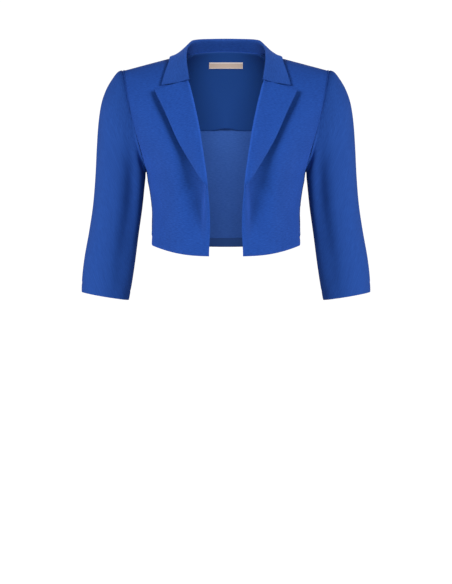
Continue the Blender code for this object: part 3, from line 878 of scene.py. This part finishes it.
def woven_label(context):
    """Woven satin polyester: pale, smooth, with fine weft lines and denser, lighter edges."""
    if "woven_satin_label" in bpy.data.materials:
        return bpy.data.materials["woven_satin_label"]
    tints = context.scene.jacket_colours
    made, tree, shader = new_material("woven_satin_label")
    place = add_node(tree, "ShaderNodeUVMap", uv_map="weave")
    apart = add_node(tree, "ShaderNodeSeparateXYZ", {"Vector": place})
    across = {0: apart.outputs["Y"], 1: LABEL_HEIGHT / 2}
    middle = add_node(tree, "ShaderNodeMath", across, operation="SUBTRACT")
    aside = add_node(tree, "ShaderNodeMath", {0: middle}, operation="ABSOLUTE")
    start, end = (LABEL_HEIGHT / 2 - inset for inset in LABEL_SELVEDGE)
    edge = add_node(tree, "ShaderNodeMapRange", {"Value": aside, "From Min": start, "From Max": end})
    tones = {"Factor": edge, "A": tints.label, "B": tints.label_edge}
    shade = add_node(tree, "ShaderNodeMix", tones, data_type="RGBA")
    # weft lines about 2 mm apart, drawn coarser than the real ones
    wave = {"Vector": place, "Scale": 1000.0 / math.tau, "Distortion": 0.4}
    weft = add_node(tree, "ShaderNodeTexWave", wave, bands_direction="Y")
    ribs = {"Height": weft.outputs["Fac"], "Strength": 0.25, "Distance": 0.0002}
    relief = add_node(tree, "ShaderNodeBump", ribs)
    looks = {"Base Color": shade, "Normal": relief, "Roughness": 0.55, "Sheen Weight": 0.2}
    set_inputs(tree, shader, looks)
    return made


def thread_material(name, tint):
    """Spun polyester thread: a soft gloss with its twist showing as fine ridges."""
    if name in bpy.data.materials:
        return bpy.data.materials[name]
    made, tree, shader = new_material(name)
    place = add_node(tree, "ShaderNodeTexCoord")
    fine = {"Vector": place.outputs["Object"], "Scale": 2500.0, "Detail": 1.0}
    twist = add_node(tree, "ShaderNodeTexNoise", fine)
    relief = add_node(tree, "ShaderNodeBump", {"Height": twist, "Strength": 0.3, "Distance": 0.0001})
    set_inputs(tree, shader, {"Base Color": tint, "Normal": relief, "Roughness": 0.6})
    return made


# Operators, one for each piece or group of like pieces
class JACKET_OT_fronts(bpy.types.Operator):
    """Both fronts, from the front edge to the side seam and up to the shoulder"""

    bl_idname = "jacket.fronts"
    bl_label = "Fronts"

    def execute(self, context):
        sizes = context.scene.jacket_sizes
        base = lay(front_face, *FRONT_GRID)
        out = square_to(base)
        along, up = walk(base, 1), walk(base, 0)
        from_side, from_top = along[:, -1:] - along, up[-1:, :] - up
        dip = dipped(sizes.seam_dip, sizes.seam_width, from_side, from_top)
        dip += dipped(sizes.edge_dip, sizes.edge_width, along, up)
        dip += dipped(sizes.hem_dip, sizes.edge_width, up - HEM_DEPTH)
        dip += creased(base, out, FRONT_CREASES, -1) + hollowed(base)
        grid = sunk(base, out, dip)
        finishes = crepe(context), wrong_side(context)
        for hand, made in sew_both("front", grid, finishes, sizes.wall):
            settle(made, f"front_{hand}")
        return {"FINISHED"}


class JACKET_OT_back(bpy.types.Operator):
    """The back, in one piece"""

    bl_idname = "jacket.back"
    bl_label = "Back"

    def execute(self, context):
        sizes = context.scene.jacket_sizes
        base = lay(back_face, *BACK_GRID)
        out = -square_to(base)
        along, up = walk(base, 1), walk(base, 0)
        from_side = np.minimum(along, along[:, -1:] - along)
        from_top = up[-1:, :] - up
        dip = dipped(sizes.seam_dip, sizes.seam_width, from_side, from_top)
        dip += dipped(sizes.edge_dip, sizes.edge_width, up)
        dip += dipped(sizes.hem_dip, sizes.edge_width, up - HEM_DEPTH)
        dip += creased(base, out, BACK_CREASES, 1)
        grid = sunk(base, out, dip)
        made = sew("back_cloth", grid, (crepe(context), wrong_side(context)), sizes.wall, flip=True)
        settle(made, "back")
        return {"FINISHED"}


class JACKET_OT_sleeves(bpy.types.Operator):
    """Both sleeves, set into the armholes"""

    bl_idname = "jacket.sleeves"
    bl_label = "Sleeves"

    def execute(self, context):
        sizes = context.scene.jacket_sizes
        base = lay(sleeve_face, *SLEEVE_GRID)
        out = square_to(base, tube=True)
        along, down = walk(base, 1), walk(base, 0)
        tucked = TUCK_RINGS / (len(SLEEVE) - 1 + TUCK_RINGS)
        to_armhole = down[round(SLEEVE_GRID[1] * tucked)]
        rise = np.clip(down / to_armhole, 0, 1)
        base = base + out * (sizes.wall * rise * rise * (3 - 2 * rise))[:, :, None]
        from_seam = np.minimum(along, along[:, -1:] - along)
        from_cuff = down[-1:, :] - down
        turn = np.linspace(0, math.tau, base.shape[1])
        upper = np.clip(HEAD_SPREAD - HEAD_SPREAD * np.cos(turn), 0, 1)
        dip = TUCK_IN * upper * np.clip(1 - down / to_armhole, 0, 1)
        dip += sizes.seam_dip * upper**3 * soft(down - to_armhole, sizes.seam_width)
        dip += sizes.seam_dip * SLEEVE_SEAM * soft(from_seam, sizes.seam_width)
        about = np.linspace(0, 1, base.shape[1])
        under = 0
        for share, past_fold in ((1, about - UNDERARM_AT), (UNDERARM_BACK, 1 - about - UNDERARM_AT)):
            past_fold = (past_fold + 0.5) % 1 - 0.5  # carried on round the underarm seam
            under = under + share * soft(past_fold, np.where(past_fold > 0, UNDERARM_DOWN, UNDERARM_UP))
        past = np.clip((down - to_armhole) / UNDERARM_STEP, 0, 1)
        dip += UNDERARM_FOLD * under * past * soft(down - to_armhole, UNDERARM_WIDTH)
        dip += sizes.edge_dip * CUFF_ROLL * soft(from_cuff, sizes.edge_width)
        dip += dipped(sizes.hem_dip, sizes.edge_width, from_cuff - HEM_DEPTH)
        dip += creased(base, out, SLEEVE_FRONT_CREASES, -1)
        dip += creased(base, out, SLEEVE_BACK_CREASES, 1)
        grid = sunk(base, out, dip)
        finishes = crepe(context), wrong_side(context)
        for hand, made in sew_both("sleeve", grid, finishes, sizes.wall, tube=True):
            settle(made, f"sleeve_{hand}")
        return {"FINISHED"}


class JACKET_OT_lapels(bpy.types.Operator):
    """Both lapels, rolled out of the front edges"""

    bl_idname = "jacket.lapels"
    bl_label = "Lapels"

    def execute(self, context):
        sizes = context.scene.jacket_sizes
        base = lay(lapel_face, *LAPEL_GRID)
        out = square_to(base)
        along, up = walk(base, 1), walk(base, 0)
        from_edge, from_gorge = along[:, -1:] - along, up[-1:, :] - up
        joined = np.clip(1 - np.linspace(0, 1, base.shape[1]) / GORGE_SEAM, 0, 1)
        dip = dipped(sizes.edge_dip, sizes.edge_width, from_edge)
        dip += GORGE_SINK * joined * soft(from_gorge, GORGE_SPREAD)
        grid = sunk(base, out, dip)
        share = np.linspace(0, 1, base.shape[0])[:, None] / BREAK_RUN
        thin = np.clip(BREAK_WALL + (1 - BREAK_WALL) * share, 0, 1) * np.ones(base.shape[:2])
        finishes = (crepe(context),)
        for hand, made in sew_both("lapel", grid, finishes, sizes.double_wall, turned=-1, thin=thin):
            settle(made, f"lapel_{hand}")
        return {"FINISHED"}


class JACKET_OT_collar(bpy.types.Operator):
    """The collar, with its stand, roll and fall"""

    bl_idname = "jacket.collar"
    bl_label = "Collar"

    def execute(self, context):
        sizes = context.scene.jacket_sizes
        base = lay(collar_face, *COLLAR_GRID)
        out = square_to(base)
        along, up = walk(base, 1), walk(base, 0)
        from_end = np.minimum(along, along[:, -1:] - along)
        from_edge = up[-1:, :] - up
        dip = dipped(sizes.edge_dip, sizes.edge_width, from_edge, from_end)
        grid = sunk(base, out, dip)
        made = sew("collar_cloth", grid, (crepe(context),), sizes.double_wall)
        settle(made, "collar")
        return {"FINISHED"}


class JACKET_OT_inside(bpy.types.Operator):
    """The facing and the hem turn-up inside the back"""

    bl_idname = "jacket.inside"
    bl_label = "Back facing and hem"

    def execute(self, context):
        sizes = context.scene.jacket_sizes
        grid = lay(partial(facing_face, sizes), *FACING_GRID)
        # the facing's darker colour is painted shade
        facing = sew("back_facing_cloth", grid, (facing_cloth_painted_shade(context),), sizes.facing_wall)
        settle(facing, "back_facing")
        grid = lay(partial(hem_face, sizes), *HEM_GRID)
        # the turn-up's darker colour is painted shade
        hem = sew("back_hem_cloth", grid, (turned_cloth_painted_shade(context),), sizes.facing_wall)
        settle(hem, "back_hem")
        return {"FINISHED"}


class JACKET_OT_label(bpy.types.Operator):
    """The blank woven label on the facing"""

    bl_idname = "jacket.label"
    bl_label = "Label"

    def execute(self, context):
        sizes = context.scene.jacket_sizes
        grid = lay(partial(label_face, sizes), *LABEL_GRID)
        made = sew("label_cloth", grid, (woven_label(context),), sizes.label_wall)
        settle(made, "label")
        return {"FINISHED"}


def stitch_tree():
    """Geometry Nodes: a stitch at every step along a line."""
    if "stitch_row" in bpy.data.node_groups:
        return bpy.data.node_groups["stitch_row"]
    tree = bpy.data.node_groups.new("stitch_row", "GeometryNodeTree")
    kinds = {"Line": "Geometry", "Step": "Float", "Stitch length": "Float", "Thread radius": "Float"}
    kinds["Thread"] = "Material"
    for name, kind in kinds.items():
        tree.interface.new_socket(name, in_out="INPUT", socket_type=f"NodeSocket{kind}")
    tree.interface.new_socket("Stitches", in_out="OUTPUT", socket_type="NodeSocketGeometry")
    given = add_node(tree, "NodeGroupInput").outputs
    line = add_node(tree, "GeometryNodeMeshToCurve", {"Mesh": given["Line"]})
    spaced = {"Curve": line, "Length": given["Step"]}
    points = add_node(tree, "GeometryNodeCurveToPoints", spaced, mode="LENGTH")
    half = add_node(tree, "ShaderNodeMath", {0: given["Stitch length"], 1: 0.5}, operation="MULTIPLY")
    radius = given["Thread radius"]
    size = add_node(tree, "ShaderNodeCombineXYZ", {"X": radius, "Y": radius, "Z": half})
    grain = add_node(tree, "GeometryNodeMeshUVSphere", {"Segments": 6, "Rings": 5, "Radius": 1.0})
    laid = {"Points": points, "Instance": grain, "Rotation": points.outputs["Rotation"], "Scale": size}
    rows = add_node(tree, "GeometryNodeInstanceOnPoints", laid)
    real = add_node(tree, "GeometryNodeRealizeInstances", {"Geometry": rows})
    threaded = {"Geometry": real, "Material": given["Thread"]}
    finished = add_node(tree, "GeometryNodeSetMaterial", threaded)
    add_node(tree, "NodeGroupOutput", {"Stitches": finished})
    return tree


def stitch(name, points, closed, step, stitch_length, finish, slot):
    """A row of stitches along a line of points."""
    edges = [(i, i + 1) for i in range(len(points) - 1)]
    if closed:
        edges.append((len(points) - 1, 0))
    line = bpy.data.meshes.new(name)
    line.from_pydata(points, edges, [])
    made = add_object(name, line)
    row = made.modifiers.new("stitches", "NODES")
    row.node_group = stitch_tree()
    thread = bpy.context.scene.jacket_sizes.thread
    values = {"Step": step, "Stitch length": stitch_length, "Thread radius": thread, "Thread": finish}
    for socket in row.node_group.interface.items_tree:
        if socket.in_out == "INPUT" and socket.name in values:
            row[socket.identifier] = values[socket.name]
    plain(made)
    made.data.shade_smooth()
    lit("inside").objects.link(made)
    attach(made, "root")


class JACKET_OT_stitches(bpy.types.Operator):
    """Stitches round the label and along the back's hem"""

    bl_idname = "jacket.stitches"
    bl_label = "Stitches"

    def execute(self, context):
        sizes, tints = context.scene.jacket_sizes, context.scene.jacket_colours
        inset_s, inset_t = LABEL_HEM / LABEL_WIDTH, LABEL_HEM / LABEL_HEIGHT
        along = [mix(inset_s, 1 - inset_s, k / LABEL_STEPS) for k in range(LABEL_STEPS + 1)]
        line = [label_face(sizes, s, inset_t) for s in along]
        line += [label_face(sizes, s, 1 - inset_t) for s in reversed(along)]
        pale = thread_material("polyester_thread_pale", tints.label_edge)
        stitch("label_stitches", line, True, sizes.stitch, sizes.stitch * STITCH_SHARE, pale, "label")
        along = [mix(HEM_INSET, 1 - HEM_INSET, k / HEM_STEPS) for k in range(HEM_STEPS + 1)]
        line = [hem_face(sizes, s, HEM_LINE) for s in along]
        blue = thread_material("polyester_thread_blue", tints.thread)
        stitch("hem_stitches", line, False, sizes.hem_stitch, sizes.stitch, blue, "crepe_inside")
        return {"FINISHED"}


def lit(group):
    """Collection of the pieces that share lamps: a half of the jacket, the collar or the inside."""
    name = f"lit_{group}"
    if name not in bpy.data.collections:
        bpy.data.collections.new(name)
    return bpy.data.collections[name]


def lamps():
    """The lamps of the table, with both twins of each that stands off the middle."""
    for lamp in LAMPS:
        if not lamp.x:
            yield lamp
            continue
        for side, hand in HANDS:
            group = lamp.group and f"{lamp.group}_{hand}"
            yield lamp._replace(name=f"{lamp.name}_{hand}", x=side * lamp.x, group=group)


class JACKET_OT_stage(bpy.types.Operator):
    """Pale floor, soft studio light and the camera"""

    bl_idname = "jacket.stage"
    bl_label = "Stage"

    def execute(self, context):
        scene, tints = context.scene, context.scene.jacket_colours
        scene.view_settings.view_transform = "Standard"

        # Painted studio floor: matt and pale, with a faint unevenness
        finish, tree, shader = new_material("matt_floor_paint")
        place = add_node(tree, "ShaderNodeTexCoord")
        broad = {"Vector": place.outputs["Object"], "Scale": 1.5, "Detail": 2.0}
        uneven = add_node(tree, "ShaderNodeTexNoise", broad)
        rough = add_node(tree, "ShaderNodeMapRange", {"Value": uneven, "To Min": 0.85, "To Max": 0.95})
        looks = {
            "Base Color": tints.floor,
            "Roughness": rough,
            "Specular IOR Level": 0.1,
            "Emission Color": (1, 1, 1, 1),
            "Emission Strength": FLOOR_GLOW,
        }
        set_inputs(tree, shader, looks)
        mesh = bpy.data.meshes.new("floor")
        form = bmesh.new()
        bmesh.ops.create_grid(form, x_segments=8, y_segments=8, size=FLOOR_HALF)
        bmesh.ops.translate(form, verts=form.verts[:], vec=(0, 0, FLOOR_Z))
        form.to_mesh(mesh)
        form.free()
        mesh.materials.append(finish)
        floor = add_object("floor", mesh)
        floor.visible_diffuse = floor.visible_glossy = False
        floor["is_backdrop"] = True

        # White surroundings, brighter to the eye than the light they cast
        world = bpy.data.worlds.new("studio")
        scene.world = world
        world.use_nodes = True
        tree = world.node_tree
        tree.nodes.clear()
        path = add_node(tree, "ShaderNodeLightPath")
        cast = add_node(tree, "ShaderNodeBackground", {"Color": (1, 1, 1, 1), "Strength": AMBIENT})
        seen = add_node(tree, "ShaderNodeBackground", {"Color": (1, 1, 1, 1), "Strength": BACKDROP})
        by_ray = {0: path.outputs["Is Camera Ray"], 1: cast, 2: seen}
        either = add_node(tree, "ShaderNodeMixShader", by_ray)
        add_node(tree, "ShaderNodeOutputWorld", {"Surface": either})

        for lamp in lamps():
            data = bpy.data.lights.new(lamp.name, "AREA")
            data.shape = "RECTANGLE"
            data.size, data.size_y = lamp.width, lamp.height
            data.energy = lamp.watts
            data.color = srgb(lamp.tone)[:3]
            made = add_object(lamp.name, data)
            made.location = (lamp.x, lamp.y, lamp.z)
            made.rotation_euler = (LAMP_AIM - made.location).to_track_quat("-Z", "Y").to_euler()
            if lamp.group:
                made.light_linking.receiver_collection = lit(lamp.group)
            # no other piece shades what such a lamp lights, and its light goes no further
            if lamp.alone:
                made.light_linking.blocker_collection = lit(lamp.group)
                data.cycles.max_bounces = 0

        camera = bpy.data.cameras.new("camera")
        camera.sensor_width = SENSOR * 1000
        camera.lens = SENSOR * 1000 * CAMERA_AWAY / (FRAME_HEIGHT * PIXEL)
        made = add_object("camera", camera)
        made.location = (0, -CAMERA_AWAY, CAMERA_Z)
        aim = Vector((0, CAMERA_AWAY, AIM_Z - CAMERA_Z))
        made.rotation_euler = aim.to_track_quat("-Z", "Y").to_euler()
        scene.camera = made
        return {"FINISHED"}


class JACKET_PT_pieces(bpy.types.Panel):
    """Lists the jacket's pieces, sizes and colours"""

    bl_label = "Spencer Jacket"
    bl_space_type = "VIEW_3D"
    bl_region_type = "UI"
    bl_category = "Jacket"

    def draw(self, context):
        for kind in OPERATORS:
            self.layout.operator(kind.bl_idname)
        for group in (context.scene.jacket_sizes, context.scene.jacket_colours):
            column = self.layout.column(align=True)
            for name in group.__annotations__:
                column.prop(group, name)


OPERATORS = (
    JACKET_OT_stage,
    JACKET_OT_fronts,
    JACKET_OT_back,
    JACKET_OT_sleeves,
    JACKET_OT_lapels,
    JACKET_OT_collar,
    JACKET_OT_inside,
    JACKET_OT_label,
    JACKET_OT_stitches,
)
CLASSES = (JacketSizes, JacketColours, *OPERATORS, JACKET_PT_pieces)


def register():
    for kind in CLASSES:
        bpy.utils.register_class(kind)
    bpy.types.Scene.jacket_sizes = PointerProperty(type=JacketSizes)
    bpy.types.Scene.jacket_colours = PointerProperty(type=JacketColours)


def unregister():
    del bpy.types.Scene.jacket_colours
    del bpy.types.Scene.jacket_sizes
    for kind in reversed(CLASSES):
        bpy.utils.unregister_class(kind)


def main():
    register()
    for kind in OPERATORS:
        group, name = kind.bl_idname.split(".")
        getattr(getattr(bpy.ops, group), name)()
    boxes = {"cad": CAD_BOX, "visual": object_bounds()}
    {name: [list(corner) for corner in box] for name, box in boxes.items()}


if __name__ == "__main__":
    main()
